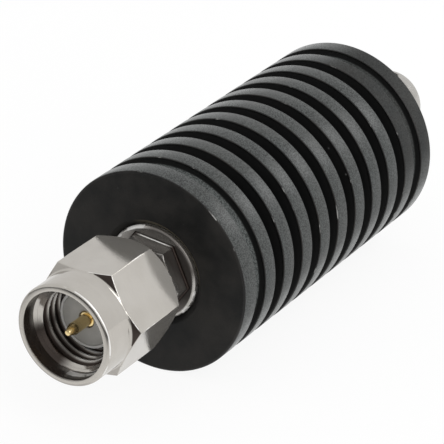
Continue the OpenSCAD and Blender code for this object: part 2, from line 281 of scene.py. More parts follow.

# %% Rubbed edges and painted highlights
# One pale mark for real wear on edges, and for painted light and highlights that pieces mark.
rub_and_highlight_group, given, result = begin_group("rubbed_and_highlight_edges", {"Amount": 0.5, "Break-up Scale": 700.0}, ["Bare"])
edge_mark = add_node(rub_and_highlight_group, "ShaderNodeAttribute", attribute_name="edge").outputs["Fac"]
rub_noise = add_node(rub_and_highlight_group, "ShaderNodeTexNoise",
                     {"Vector": object_place(rub_and_highlight_group), "Scale": given["Break-up Scale"], "Detail": 3.0})
rub_reach = calculate(rub_and_highlight_group, "MULTIPLY", given["Amount"], edge_mark)
rub_limit = calculate(rub_and_highlight_group, "SUBTRACT", 1.0, rub_reach)
rub_patch = calculate(rub_and_highlight_group, "SUBTRACT", rub_noise.outputs["Fac"], rub_limit)
rub_and_highlight_group.links.new(scaled_range(rub_and_highlight_group, rub_patch, 0.0, 0.12), result["Bare"])
print("group", rub_and_highlight_group.name)

# %% Begin a finish
def begin_finish(name):
    finish = bpy.data.materials.new(name)
    finish.use_nodes = True
    tree = finish.node_tree
    return finish, tree, tree.nodes["Principled BSDF"]


def place_group(tree, group, **inputs):
    made = add_node(tree, "ShaderNodeGroup", node_tree=group)
    for name, value in inputs.items():
        made.inputs[name.replace("_", " ")].default_value = value
    return made.outputs


def add_relief(tree, shader, height, depth_mm):
    bump = add_node(tree, "ShaderNodeBump", {"Height": height, "Distance": depth_mm * mm, "Strength": 1.0})
    tree.links.new(bump.outputs[0], shader.inputs["Normal"])


def piece_mark(tree, name):
    return add_node(tree, "ShaderNodeAttribute", attribute_name=name).outputs["Fac"]


print("finishes can be begun")

# %% [markdown]
# ## Black anodising
# The heat sink is blasted aluminium, dyed black in its oxide layer. It is not a metal to the eye
# any more: a dark base under a clear satin skin, with faint patches, and bare grey aluminium where
# an edge was rubbed. A grey on the outer bands, which the piece marks in an attribute, shows the fine
# grain there: partly handling wear, and partly painted light and shade. The groove walls, marked
# deep, get a near black that is painted shade.
# The fins' crests are smoother than the faces and the walls, so the roughness follows the radius,
# and a gloss below zero dulls a crest too. A plain black would look like rubber.

# %% Make the black anodising
dye_thick = (0.0026, 0.0029, 0.0028, 1.0)
dye_thin = (0.018, 0.0165, 0.0148, 1.0)
grey_low = (0.0235, 0.0265, 0.0258, 1.0)
grey_high = (0.12, 0.13, 0.127, 1.0)
# Near black for the groove walls: painted shade.
groove_shade_black = (0.001, 0.0012, 0.0011, 1.0)
speck_grey = (0.2, 0.2, 0.2, 1.0)
countersink_tint = (0.13, 0.112, 0.078, 1.0)
bare_aluminium = (0.32, 0.32, 0.31, 1.0)
speck_share = 0.35
dull_extra = 0.42
crest_edge = sink_high.x - 0.08 * mm
wall_edge = sink_high.x - 0.22 * mm

anodising, tree, shader = begin_finish("black_anodising")
grain = place_group(tree, grain_group, Grain_Scale=9000.0, Patch_Scale=300.0, Speck_Scale=700.0)
rings = place_group(tree, rings_group, Rings_per_Metre=9000.0)
rub_and_highlight = place_group(tree, rub_and_highlight_group, Amount=0.62)
dye_light_and_shade = mix_colours(tree, grain["Patch"], dye_thick, dye_thin)
grain_tone = scaled_range(tree, grain["Height"], 0.36, 0.64)
# Grey for the marked bands: partly handling wear, partly painted light and shade.
handled_and_lit_grey = mix_colours(tree, grain_tone, grey_low, grey_high)
dye_light_and_shade = mix_colours(tree, piece_mark(tree, "handled_and_lit"), dye_light_and_shade, handled_and_lit_grey)
# The groove walls get a near black: painted shade.
dye_light_and_shade = mix_colours(tree, piece_mark(tree, "deep"), dye_light_and_shade, groove_shade_black)
dye_light_and_shade = mix_colours(tree, calculate(tree, "MULTIPLY", grain["Speck"], speck_share), dye_light_and_shade, speck_grey)
# A brown tint where the countersink is marked.
dye_light_and_shade = mix_colours(tree, piece_mark(tree, "tint_and_shade"), dye_light_and_shade, countersink_tint)
dye_light_and_shade = mix_colours(tree, rub_and_highlight["Bare"], dye_light_and_shade, bare_aluminium)
tree.links.new(dye_light_and_shade, shader.inputs["Base Color"])
satin = scaled_range(tree, grain["Patch"], 0.0, 1.0, 0.25, 0.31)
dull_share = scaled_range(tree, rings["Radius"], crest_edge, wall_edge)
worn_dull = calculate(tree, "MULTIPLY", piece_mark(tree, "gloss"), -1.0)
dull_share = calculate(tree, "MAXIMUM", dull_share, worn_dull)
roughness = calculate(tree, "ADD", satin, calculate(tree, "MULTIPLY", dull_share, dull_extra))
tree.links.new(roughness, shader.inputs["Roughness"])
tree.links.new(calculate(tree, "MULTIPLY", rub_and_highlight["Bare"], 0.7), shader.inputs["Metallic"])
shader.inputs["Specular IOR Level"].default_value = 0.3
relief = calculate(tree, "ADD", grain["Height"], calculate(tree, "MULTIPLY", rings["Height"], 0.3))
add_relief(tree, shader, relief, 0.012)
print("finish", anodising.name)

# %% [markdown]
# ## Passivated steel
# The nut's flats are polished enough to mirror the heat sink's face, with a slightly warm grey and
# soft smudges. The two connector bodies are the same steel straight from the lathe, so their rings
# show more. A dark brown lies in thread roots, tool-cut recesses and on the sides away from the
# light, which the pieces mark in an attribute: partly an oil film from cutting, and mostly painted
# shade and painted dark reflection. A share of plain grey under the metal gives the satin haze: less
# of it where a piece is marked with gloss, and more where an edge is rubbed pale. The pale colour is
# edge wear, and where a piece marks it, painted light and painted highlights. One function makes
# both, with the roughness and the depth of the rings as its values.

# %% Make the two steels
# Dark brown: partly an oil film, mostly painted shade and painted dark reflection.
film_and_shade_colour = (0.032, 0.022, 0.0175, 1.0)
# Pale steel: rubbed edges, and painted light and highlights where pieces mark them.
rubbed_and_lit_steel = (0.88, 0.87, 0.85, 1.0)
lathe_streak = (0.2, 0.18, 0.16, 1.0)
streak_most = 0.3
rubbed_and_lit_most = 0.8
film_and_shade_dulls = 0.2
metal_plain = 0.75
gloss_adds = 0.22
rubbing_takes = 0.45


def make_steel(name, tint, shade, smooth, rough, ring_share, scuff, depth):
    finish, tree, shader = begin_finish(name)
    grain = place_group(tree, grain_group, Grain_Scale=14000.0, Patch_Scale=420.0, Speck_Scale=1500.0)
    rings = place_group(tree, rings_group, Rings_per_Metre=16000.0)
    rub_and_highlight = place_group(tree, rub_and_highlight_group, Amount=0.6)
    tone = mix_colours(tree, grain["Patch"], tint, shade)
    streak = place_group(tree, rings_group, Rings_per_Metre=5000.0)["Tone"]
    streak_share = calculate(tree, "MULTIPLY", streak, streak_most * ring_share)
    tone = mix_colours(tree, streak_share, tone, lathe_streak)
    # The pale colour is edge wear, and painted light and highlights where marked.
    tone = mix_colours(tree, calculate(tree, "MULTIPLY", rub_and_highlight["Bare"], rubbed_and_lit_most), tone, rubbed_and_lit_steel)
    # Where marked, the dark brown is partly oil film and mostly painted shade.
    film_and_shade = piece_mark(tree, "tint_and_shade")
    tone = mix_colours(tree, film_and_shade, tone, film_and_shade_colour)
    tree.links.new(tone, shader.inputs["Base Color"])
    polish = scaled_range(tree, grain["Patch"], 0.0, 1.0, smooth, rough)
    roughness = calculate(tree, "ADD", polish, calculate(tree, "MULTIPLY", film_and_shade, film_and_shade_dulls))
    roughness = calculate(tree, "ADD", roughness, calculate(tree, "MULTIPLY", rub_and_highlight["Bare"], scuff))
    tree.links.new(roughness, shader.inputs["Roughness"])
    gloss = calculate(tree, "MULTIPLY", piece_mark(tree, "gloss"), gloss_adds)
    metal = calculate(tree, "SUBTRACT", gloss, calculate(tree, "MULTIPLY", rub_and_highlight["Bare"], rubbing_takes))
    tree.links.new(calculate(tree, "ADD", metal, metal_plain), shader.inputs["Metallic"])
    ring_height = calculate(tree, "MULTIPLY", rings["Height"], ring_share)
    add_relief(tree, shader, calculate(tree, "ADD", grain["Height"], ring_height), depth)
    return finish


nut_steel = make_steel("nut_steel", (0.54, 0.515, 0.475, 1.0), (0.50, 0.475, 0.435, 1.0),
                       smooth=0.06, rough=0.1, ring_share=0.1, scuff=0.25, depth=0.002)
body_steel = make_steel("body_steel", (0.51, 0.495, 0.47, 1.0), (0.46, 0.445, 0.42, 1.0),
                        smooth=0.12, rough=0.18, ring_share=1.0, scuff=0.4, depth=0.0015)
print("finishes", nut_steel.name, "and", body_steel.name)

# %% [markdown]
# ## Gold, insulator and hidden metals
# The pin is gold over brass, bright at its tip and brown where it mirrors the dark mouth. The
# insulator is a smooth off-white plastic with faint turning rings; its colour is a darker grey,
# painted shade from the nut.
# The pieces inside the heat sink keep their imported solids, and still get a finish of their own.

# %% Make gold and the other metals
def make_metal(name, tint, shade, smooth, rough, depth):
    finish, tree, shader = begin_finish(name)
    grain = place_group(tree, grain_group, Grain_Scale=16000.0, Patch_Scale=900.0, Speck_Scale=2500.0)
    rings = place_group(tree, rings_group, Rings_per_Metre=20000.0)
    tree.links.new(mix_colours(tree, grain["Patch"], tint, shade), shader.inputs["Base Color"])
    tree.links.new(scaled_range(tree, rings["Tone"], 0.0, 1.0, smooth, rough), shader.inputs["Roughness"])
    shader.inputs["Metallic"].default_value = 1.0
    add_relief(tree, shader, rings["Height"], depth)
    return finish


gold = make_metal("gold_plate", (0.87, 0.69, 0.37, 1.0), (0.83, 0.64, 0.32, 1.0),
                  smooth=0.12, rough=0.2, depth=0.0008)
brass = make_metal("carrier_brass", (0.66, 0.49, 0.22, 1.0), (0.58, 0.42, 0.18, 1.0),
                   smooth=0.25, rough=0.35, depth=0.0015)
bronze = make_metal("spring_bronze", (0.52, 0.33, 0.16, 1.0), (0.45, 0.28, 0.13, 1.0),
                    smooth=0.25, rough=0.38, depth=0.0015)
print("finishes", gold.name, brass.name, bronze.name)

# %% Make the insulator and the card
def make_fired(name, tint, shade, smooth, rough, depth):
    finish, tree, shader = begin_finish(name)
    grain = place_group(tree, grain_group, Grain_Scale=11000.0, Patch_Scale=600.0, Speck_Scale=1600.0)
    rings = place_group(tree, rings_group, Rings_per_Metre=14000.0)
    tree.links.new(mix_colours(tree, grain["Patch"], tint, shade), shader.inputs["Base Color"])
    tree.links.new(scaled_range(tree, grain["Patch"], 0.0, 1.0, smooth, rough), shader.inputs["Roughness"])
    relief = calculate(tree, "ADD", grain["Height"], rings["Height"])
    add_relief(tree, shader, relief, depth)
    return finish


# The grey is painted shade; the plastic itself is off-white.
insulator_white = make_fired("insulator_white", (0.44, 0.43, 0.405, 1.0), (0.38, 0.37, 0.345, 1.0),
                             smooth=0.3, rough=0.4, depth=0.001)
card_ceramic = make_fired("card_ceramic", (0.82, 0.81, 0.77, 1.0), (0.75, 0.74, 0.70, 1.0),
                          smooth=0.45, rough=0.6, depth=0.003)
print("finishes", insulator_white.name, "and", card_ceramic.name)

# %% [markdown]
# ## Turning a profile
# A lathe makes a solid from one profile, and bmesh.ops.spin does the same. The profile is laid out
# as a flat face of (radius, station) corners in millimetres. Its corners can be rounded while it
# is still flat, by a vertex bevel, which is far cheaper than bevelling rings afterwards.
#
# The pieces tell the finishes where they are worn, and where light and shade are painted, through
# attributes on their vertices: edge for what is rubbed pale and for painted highlights, recess for a
# brown tint, on the steel partly oil film and mostly painted shade, band for grey that is partly
# handling wear and partly painted light and shade, deep for groove walls painted near black as
# shade, and gloss for more or less polish. Wear and painted light are seldom even all round, so
# turn_share gives 1 on one side of a piece and fades to 0 away from it. Turns are degrees from +X
# towards +Z.

# %% Profile helpers
def begin_piece():
    bm = bmesh.new()
    for name in ("edge", "tint_and_shade", "handled_and_lit", "deep", "gloss"):
        bm.verts.layers.float.new(name)
    return bm


def radius_of(v):
    return math.hypot(v.co.x, v.co.z) / mm


def turn_of(v):
    return math.degrees(math.atan2(v.co.z, v.co.x))


def turn_share(v, centre, half_width, fade):
    away = abs((turn_of(v) - centre + 180) % 360 - 180)
    share = min(1.0, max(0.0, (away - half_width) / fade))
    return 1 - share * share * (3 - 2 * share)


def mark_tint_and_shade(bm, corners, share):
    tint_and_shade = bm.verts.layers.float["tint_and_shade"]
    for v in corners:
        v[tint_and_shade] = share


def lay_profile(bm, outline):
    corners = [bm.verts.new((r * mm, y * mm, 0.0)) for r, y in outline]
    bm.faces.new(corners)
    return corners


def round_corners(bm, corners, radius, segments=3, worn=0.6):
    tips = [v.co.copy() for v in corners]
    made = bmesh.ops.bevel(bm, geom=corners, offset=radius * mm, offset_type="OFFSET",
                           segments=segments, profile=0.5, affect="VERTICES", material=-1)
    edge = bm.verts.layers.float["edge"]
    for v in made["verts"]:
        near_tip = min((v.co - tip).length for tip in tips) < 0.8 * radius * mm
        v[edge] = worn * near_tip


def turn_profile(bm, steps=192):
    on_axis = 1e-6 * mm
    bmesh.ops.delete(bm, geom=list(bm.faces), context="FACES_ONLY")
    middle = [e for e in bm.edges if all(abs(v.co.x) < on_axis for v in e.verts)]
    bmesh.ops.delete(bm, geom=middle, context="EDGES")
    bmesh.ops.spin(bm, geom=list(bm.verts) + list(bm.edges), cent=(0, 0, 0), axis=(0, 1, 0),
                   dvec=(0, 0, 0), angle=math.tau, steps=steps, use_merge=True, use_duplicate=False)
    bmesh.ops.remove_doubles(bm, verts=list(bm.verts), dist=1e-4 * mm)
    bmesh.ops.recalc_face_normals(bm, faces=list(bm.faces))


def add_shell(bm, shell):
    part = bpy.data.meshes.new("shell")
    shell.to_mesh(part)
    shell.free()
    bm.from_mesh(part)
    bpy.data.meshes.remove(part)


def show_piece(bm, name, node, body, finish, crease=28):
    for face in bm.faces:
        face.smooth = True
    for edge in bm.edges:
        edge.smooth = edge.calc_face_angle(0.0) < math.radians(crease)
    mesh = bpy.data.meshes.new(name)
    bm.to_mesh(mesh)
    open_edges = sum(not e.is_manifold for e in bm.edges)
    bm.free()
    mesh.materials.append(finish)
    piece = bpy.data.objects.new(name, mesh)
    scene.collection.objects.link(piece)
    even = piece.modifiers.new("even_normals", "WEIGHTED_NORMAL")
    even.keep_sharp = True
    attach(piece, body)
    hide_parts(node)
    print(name, len(mesh.polygons), "faces,", open_edges, "open edges")


print("profile helpers ready")

# %% [markdown]
# ## The heat sink
# One turned bar with ten grooves of one width and pitch. Eight of them are deep and leave the fins,
# and the one next to each end disc is shallow. Each end has a stepped seat with a countersink for
# its connector. The fins could be an array of discs, but a single profile keeps them one solid, as
# the lathe did, and lets every fin edge be rounded at once. The crests and the shallow floors are
# marked as bands and greyed, partly as handling wear and partly as painted light: a lit floor in the
# shallow grooves, and a painted sheen on the crests near the upper and lower outline. On one side the
# last fins are darker, as painted shade, and duller there.

# %% Turn the heat sink
sink_r = sink_high.x / mm
sink_y = sink_low.y / mm
sink_end = sink_high.y / mm
front_plate = 1.65
fin_pitch = 2.67
fin_gap = 1.2
deep_floor = sink_r - 3.0
end_floor = sink_r - 0.52
groove_floors = [end_floor] + [deep_floor] * 8 + [end_floor]
bore_r = 2.7
seat_depth = 1.45
spigot_len = 3.0
seat_r = 3.79
spigot_bore_r = 3.04
countersink = 0.4


def seat_steps(face, inwards):
    deep = face + inwards * seat_depth
    far = deep + inwards * spigot_len
    return [(seat_r + countersink, face), (seat_r, face + inwards * countersink), (seat_r, deep),
            (spigot_bore_r, deep), (spigot_bore_r, far), (bore_r, far)]


outline = [(sink_r, sink_y)]
for i, floor_r in enumerate(groove_floors):
    start = sink_y + front_plate + i * fin_pitch
    stop = start + fin_gap
    outline += [(sink_r, start), (floor_r, start), (floor_r, stop), (sink_r, stop)]
outline += [(sink_r, sink_end)] + seat_steps(sink_end, -1) + seat_steps(sink_y, 1)[::-1]

bm = begin_piece()
corners = lay_profile(bm, outline)
crests = [v for v, (r, y) in zip(corners, outline) if r == sink_r]
floors = [v for v, (r, y) in zip(corners, outline) if r in (deep_floor, end_floor)]
lips = [v for v, (r, y) in zip(corners, outline) if r == seat_r + countersink]
round_corners(bm, floors, 0.12, segments=2, worn=0.0)
round_corners(bm, [crests[0], crests[-1]], 0.13)
round_corners(bm, crests[1:-1], 0.11)
round_corners(bm, lips, 0.05, segments=2)
turn_profile(bm, steps=240)
print("heat sink turned with", len(groove_floors), "grooves")

# %% Mark the wear, painted light and painted shade of the heat sink
near = 0.01
grooves_start = sink_y + front_plate - near
last_fins = grooves_start + 8 * fin_pitch + fin_gap
grooves_stop = last_fins + fin_pitch + 2 * near
crest_grey = 0.6
# A painted sheen added near the outline, and painted shade taken off the last fins.
sheen_adds = 0.35
rear_shade_takes = 0.38
floor_rear_shade_takes = 0.6
side_dull = 0.55
countersink_tint_share = 0.9
pale_stretch = 0.9
pale_stretch_turns = (46, 58)
# Sides of the painted shade on the last fins, and of the painted sheen near the upper and lower outline.
rear_dull_and_shade_side = (42, 32, 22)
upper_sheen_side = (113, 8, 12)
lower_sheen_side = (-25, 5, 8)
dull_side = (8, 12, 18)
countersink_side = (55, 30, 35)

edge = bm.verts.layers.float["edge"]
tint_and_shade = bm.verts.layers.float["tint_and_shade"]
handled_and_lit = bm.verts.layers.float["handled_and_lit"]
deep = bm.verts.layers.float["deep"]
gloss = bm.verts.layers.float["gloss"]
for v in bm.verts:
    r = radius_of(v)
    y = v.co.y / mm
    # A short stretch of the front rim is marked pale.
    if v[edge] and y < sink_y + 0.3 and pale_stretch_turns[0] < turn_of(v) < pale_stretch_turns[1]:
        v[edge] = pale_stretch
    # The last fins: painted shade, and duller there; near the outline: a painted sheen.
    rear_dull_and_shade = turn_share(v, *rear_dull_and_shade_side) * (y > last_fins)
    limb_sheen = max(turn_share(v, *upper_sheen_side), turn_share(v, *lower_sheen_side))
    if r > sink_r - near / 2:
        v[handled_and_lit] = crest_grey + sheen_adds * limb_sheen - rear_shade_takes * rear_dull_and_shade
        v[gloss] = -max(rear_dull_and_shade, side_dull * turn_share(v, *dull_side))
    # The shallow floors are greyed fully as painted light.
    elif abs(r - end_floor) < near / 2:
        v[handled_and_lit] = 1.0 - floor_rear_shade_takes * rear_dull_and_shade
    # Groove walls: marked for a near black that is painted shade.
    elif r < sink_r - 0.1 and grooves_start < y < grooves_stop:
        v[deep] = 1.0
    # A brown tint on the countersink, strongest on its upper right side.
    if seat_r - near < r < seat_r + countersink:
        v[tint_and_shade] = countersink_tint_share * turn_share(v, *countersink_side)
show_piece(bm, "finned_sink", "heat_sink", "body", anodising)

# %% [markdown]
# ## Flats and threads
# The nut and the two wrench necks are turned round first and then milled to a hexagon, so each is
# a turned blank that six planes cut. bisect_plane takes off what lies outside a plane, and a fill
# closes the flat. A thread is a ridge that runs round the axis and moves one pitch per turn: the
# same spin with a step along the axis. Where a thread runs out at a lead-in, its crest follows the
# lead-in's cone.

# %% Hexagon and thread helpers
thread_pitch = 25.4 / 36
milled_rub = 0.85


def mill_hexagon(bm, across_flats, turn_deg, edge_break):
    for k in range(6):
        angle = math.radians(turn_deg + 30 + 60 * k)
        outwards = Vector((math.cos(angle), 0.0, math.sin(angle)))
        whole = list(bm.verts) + list(bm.edges) + list(bm.faces)
        cut = bmesh.ops.bisect_plane(bm, geom=whole, dist=1e-5 * mm, clear_outer=True,
                                     plane_co=outwards * across_flats / 2 * mm, plane_no=outwards)
        rim = [e for e in cut["geom_cut"] if isinstance(e, bmesh.types.BMEdge) and e.is_boundary]
        bmesh.ops.holes_fill(bm, edges=rim, sides=0)
    bmesh.ops.remove_doubles(bm, verts=list(bm.verts), dist=0.005 * mm)
    bmesh.ops.recalc_face_normals(bm, faces=list(bm.faces))
    bm.normal_update()
    flats = [f for f in bm.faces if len(f.verts) > 8]
    sharp = list(dict.fromkeys(e for f in flats for e in f.edges))
    made = bmesh.ops.bevel(bm, geom=sharp, offset=edge_break * mm, offset_type="OFFSET",
                           segments=3, profile=0.5, affect="EDGES", material=-1)
    edge = bm.verts.layers.float["edge"]
    strip = set(made["faces"])
    for v in made["verts"]:
        v[edge] = milled_rub * all(f in strip for f in v.link_faces)
    return len(flats), len(sharp)


def cut_thread(bm, root_r, crest_r, start, stop, limit, steps=96):
    ridge = begin_piece()
    base = thread_pitch * 0.44
    crest = thread_pitch * 0.09
    sink_in = 0.03 if crest_r > root_r else -0.03
    mid_r = 0.45 * root_r + 0.55 * crest_r
    mid = 0.45 * base + 0.55 * crest
    buried_r = root_r - sink_in
    corners = lay_profile(ridge, [(buried_r, start - base), (mid_r, start - mid), (crest_r, start - crest),
                                  (crest_r, start + crest), (mid_r, start + mid), (buried_r, start + base)])
    # The thread's roots are darkened as painted shade.
    mark_tint_and_shade(ridge, [corners[0], corners[1], corners[4], corners[5]], 1.0)
    turns = (stop - start) / thread_pitch
    count = round(turns * steps)
    profile = list(ridge.verts) + list(ridge.edges) + list(ridge.faces)
    bmesh.ops.spin(ridge, geom=profile, cent=(0, 0, 0), axis=(0, 1, 0), angle=turns * math.tau,
                   dvec=(0, (stop - start) * mm / count, 0), steps=count,
                   use_merge=False, use_duplicate=False)
    for v in ridge.verts:
        r = math.hypot(v.co.x, v.co.z)
        kept = limit(r / mm, v.co.y / mm) * mm
        v.co.x *= kept / r
        v.co.z *= kept / r
    bmesh.ops.recalc_face_normals(ridge, faces=list(ridge.faces))
    add_shell(bm, ridge)
    return turns


print("thread pitch", round(thread_pitch, 4), "mm")

# %% [markdown]
# ## The coupling nut
# A steel nut, 8 mm across its flats, with a round collar in front. Its mouth is plain for the first
# stretch, then comes the inside thread, and behind it the groove of the ring that keeps the nut on
# the plug. The blank is turned a little larger than the hexagon's corners and then milled. Painted
# shade lies inside the mouth at the lower left, in the thread and on the left of the rim, a painted
# dark reflection on the cut corners of the hexagon, and the bottom of the mouth is painted pale as
# light. The rear rim is kept clear of the shade. A painted highlight runs along the right of the rim.

# %% Turn the nut's blank
nut_low, nut_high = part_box("coupling_nut")
nut_y = nut_low.y / mm
nut_end = nut_high.y / mm
nut_af = 8.0
hex_len = 5.85
hex_y = nut_end - hex_len
nut_turn = 2
collar_r = 3.93
rim_round = 0.24
mouth_r = 3.4
mouth_depth = 1.2
# Depth where the painted shade inside the mouth changes; also a corner of the profile.
shade_depth = 0.65
nut_major_r = 3.2
nut_minor_r = 2.84
lead_end = nut_y + mouth_depth + mouth_r - nut_major_r
relief_y, relief_end = 2.15, 3.15
relief_r = 3.225
groove_y, groove_end = 4.15, 4.85
groove_r = 3.15
nut_bore_r = 2.75
blank_r = 4.8
front_lean = math.tan(math.radians(30))
front_cone = (blank_r - nut_af / 2) * front_lean
rear_cone = blank_r - nut_af / 2
collar_end = hex_y - (nut_af / 2 - collar_r) * front_lean

outline = [(mouth_r, nut_y), (collar_r, nut_y), (collar_r, collar_end), (blank_r, hex_y + front_cone),
           (blank_r, nut_end - rear_cone), (nut_af / 2, nut_end), (nut_bore_r, nut_end),
           (nut_bore_r, groove_end), (groove_r, groove_end), (groove_r, groove_y), (nut_bore_r, groove_y),
           (nut_bore_r, relief_end), (relief_r, relief_end), (relief_r, relief_y), (nut_major_r, relief_y),
           (nut_major_r, lead_end), (mouth_r, nut_y + mouth_depth), (mouth_r, nut_y + shade_depth)]
bm = begin_piece()
corners = lay_profile(bm, outline)
round_corners(bm, [corners[1]], rim_round, segments=5, worn=0.0)
round_corners(bm, [corners[0]], 0.07, segments=2)
round_corners(bm, [corners[2]], 0.16, segments=4, worn=0.0)
round_corners(bm, [corners[6]], 0.1, segments=2)
# Everything inside the mouth is painted dark as shade.
inside = [v for v in bm.verts if v.co.x / mm < mouth_r - 2 * near]
mark_tint_and_shade(bm, inside, 1.0)
turn_profile(bm, steps=240)
print("nut blank turned,", round(2 * blank_r, 2), "mm across")

# %% Mark the painted light and shade of the mouth and the rim, and mill the hexagon
# Painted shade in the mouth and on the rim, painted light on the mouth's bottom, a painted highlight on the
# rim.
full_shade = 0.97
light_shade = 0.3
mouth_painted_light = 1.3
mouth_light_side = (295, 25, 20)
inner_shade_side = (222, 22, 25)
mouth_shade_side = (212, 48, 18)
front_shade_side = (240, 78, 15)
rim_shade_side = (225, 65, 25)
rim_gloss_side = (30, 75, 20)
rim_highlight_side = (30, 60, 20)

edge = bm.verts.layers.float["edge"]
tint_and_shade = bm.verts.layers.float["tint_and_shade"]
gloss = bm.verts.layers.float["gloss"]
for v in bm.verts:
    r = radius_of(v)
    behind = v.co.y / mm - nut_y
    # In the mouth: painted light at the bottom, painted shade at the lower left.
    if abs(r - mouth_r) < 2 * near:
        v[edge] = mouth_painted_light * turn_share(v, *mouth_light_side)
        if behind > shade_depth + 0.1:
            v[tint_and_shade] = full_shade * turn_share(v, *inner_shade_side)
        elif behind > 0.3:
            v[tint_and_shade] = full_shade * turn_share(v, *mouth_shade_side)
        else:
            v[tint_and_shade] = full_shade * turn_share(v, *front_shade_side)
            v[edge] = 0.0
    # On the front rim: painted shade on the left, and a painted highlight on the right.
    elif r > collar_r - rim_round + near and behind < 0.2:
        v[gloss] = turn_share(v, *rim_gloss_side)
        v[tint_and_shade] = light_shade * turn_share(v, *rim_shade_side)
        if behind > 0.06:
            v[edge] = turn_share(v, *rim_highlight_side)
flats, broken = mill_hexagon(bm, nut_af, nut_turn, 0.06)
print("nut has", flats, "flats and", broken, "broken edges")

# %% Mark the milled faces and cut the thread
# Painted dark reflection on the hexagon's front cones, painted shade and highlights on the thread crests.
cone_dark_reflection = 0.25
crest_shade = 0.55
crest_highlight = 1.1
crest_shade_side = (222, 28, 25)
lower_crest_highlight_side = (288, 24, 20)
upper_crest_highlight_side = (148, 20, 15)
dull_flat = -0.9
rear_rim_w = 0.1

bm.normal_update()
flat_angle = math.radians(nut_turn + 30)
right_flat = Vector((math.cos(flat_angle), 0.0, math.sin(flat_angle)))
for v in bm.verts:
    if v.co.dot(right_flat) > (nut_af / 2 - 0.001) * mm:
        v[gloss] = dull_flat
# The hexagon's front cones get a painted dark reflection, full on the right.
front_cones = [v for v in bm.verts if v.normal.y < -0.7 and hex_y * mm < v.co.y]
mark_tint_and_shade(bm, front_cones, cone_dark_reflection)
right_cones = [v for v in front_cones if nut_turn - 30 < turn_of(v) < nut_turn + 90]
mark_tint_and_shade(bm, right_cones, full_shade)
rear_rim = [v for v in bm.verts if v.co.y / mm > nut_end - rear_rim_w
            and radius_of(v) > nut_af / 2 - rear_rim_w]
mark_tint_and_shade(bm, rear_rim, 0.0)


def nut_lead(r, y):
    return max(r, mouth_r - max(0.0, y - nut_y - mouth_depth) * 0.9)


turns = cut_thread(bm, nut_major_r, nut_minor_r, nut_y + mouth_depth + 0.1, relief_y - 0.2, nut_lead)
print("nut thread of", round(turns, 1), "turns")
# Thread crests: painted shade at the lower left, painted highlights at the bottom and upper left. The
# lead-in: painted shade at the lower left.
for v in bm.verts:
    r = radius_of(v)
    y = v.co.y / mm
    if y < relief_y and r < nut_minor_r + near:
        v[tint_and_shade] = crest_shade * turn_share(v, *crest_shade_side)
        v[edge] = max(crest_highlight * turn_share(v, *lower_crest_highlight_side), turn_share(v, *upper_crest_highlight_side))
    if 0 < y - nut_y - mouth_depth < 0.5 and r < mouth_r:
        v[tint_and_shade] = full_shade * turn_share(v, *inner_shade_side)
show_piece(bm, "nut_milled", "coupling_nut", "nut", nut_steel)

# %% [markdown]
# ## The plug's body
# One turned steel piece: the bare end of the outer conductor inside the nut, the shank that the nut
# turns on with the groove of its ring, a hexagonal wrench neck, and the flange that closes the heat
# sink's seat. The neck is a second turned blank, milled like the nut and set on the shank, and
# carries painted shade, as does one side of the flange's face. A small fillet runs round its foot,
# with a painted highlight line on the upper flat and painted shade elsewhere. The flange's rim
# carries painted highlights on two sides.

# %% Turn the plug's body
plug_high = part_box("plug_body")[1]
barrel_r = 2.28
barrel_len = 1.95
barrel_rub = 1.3
shank_r = 2.7
ring_seat_r = 2.38
waist_r = 2.45
waist_y = 6.15
neck_y = 6.95
flange_y = 8.4
flange_r = 3.75
flange_round = 0.3
plug_neck_af = 5.5
neck_turn = 54
seat_y = sink_y + seat_depth
spigot_r = 3.0
plug_end = plug_high.y / mm
insulator_bore_r = 2.07
shoulder_bore_r = 2.37
shoulder_len = 2.4
plug_shoulder_y = plug_end - shoulder_len

outline = [(insulator_bore_r, 0.0), (barrel_r, 0.0), (barrel_r, barrel_len), (shank_r, barrel_len),
           (shank_r, groove_y), (ring_seat_r, groove_y), (ring_seat_r, groove_end), (shank_r, groove_end),
           (shank_r, waist_y + waist_r - shank_r), (waist_r, waist_y), (waist_r, flange_y),
           (flange_r, flange_y), (flange_r, seat_y), (spigot_r, seat_y),
           (spigot_r, plug_end), (shoulder_bore_r, plug_end), (shoulder_bore_r, plug_shoulder_y),
           (insulator_bore_r, plug_shoulder_y)]
bm = begin_piece()
corners = lay_profile(bm, outline)
round_corners(bm, [corners[1]], 0.07, segments=3)
round_corners(bm, [corners[3]], 0.12, segments=3)
round_corners(bm, [corners[11]], flange_round, segments=5)
edge = bm.verts.layers.float["edge"]
for v in bm.verts:
    if v.co.y < 0.04 * mm:
        v[edge] = barrel_rub
turn_profile(bm)
print("plug body turned to", round(plug_end, 2), "mm behind its mating plane")

# %% Wrench neck helpers
def wrench_neck(across_flats, turn_deg, open_end, seat_end, inner_r, lean_deg):
    inwards = 1 if seat_end > open_end else -1
    corner_r = across_flats / 2 / math.cos(math.radians(30)) + 0.2
    cone = (corner_r - inner_r) * math.tan(math.radians(lean_deg))
    neck = begin_piece()
    lay_profile(neck, [(insulator_bore_r + 0.2, open_end), (inner_r, open_end),
                       (corner_r, open_end + inwards * cone), (corner_r, seat_end + inwards * 0.05),
                       (insulator_bore_r + 0.2, seat_end + inwards * 0.05)])
    turn_profile(neck)
    mill_hexagon(neck, across_flats, turn_deg, 0.05)
    return neck


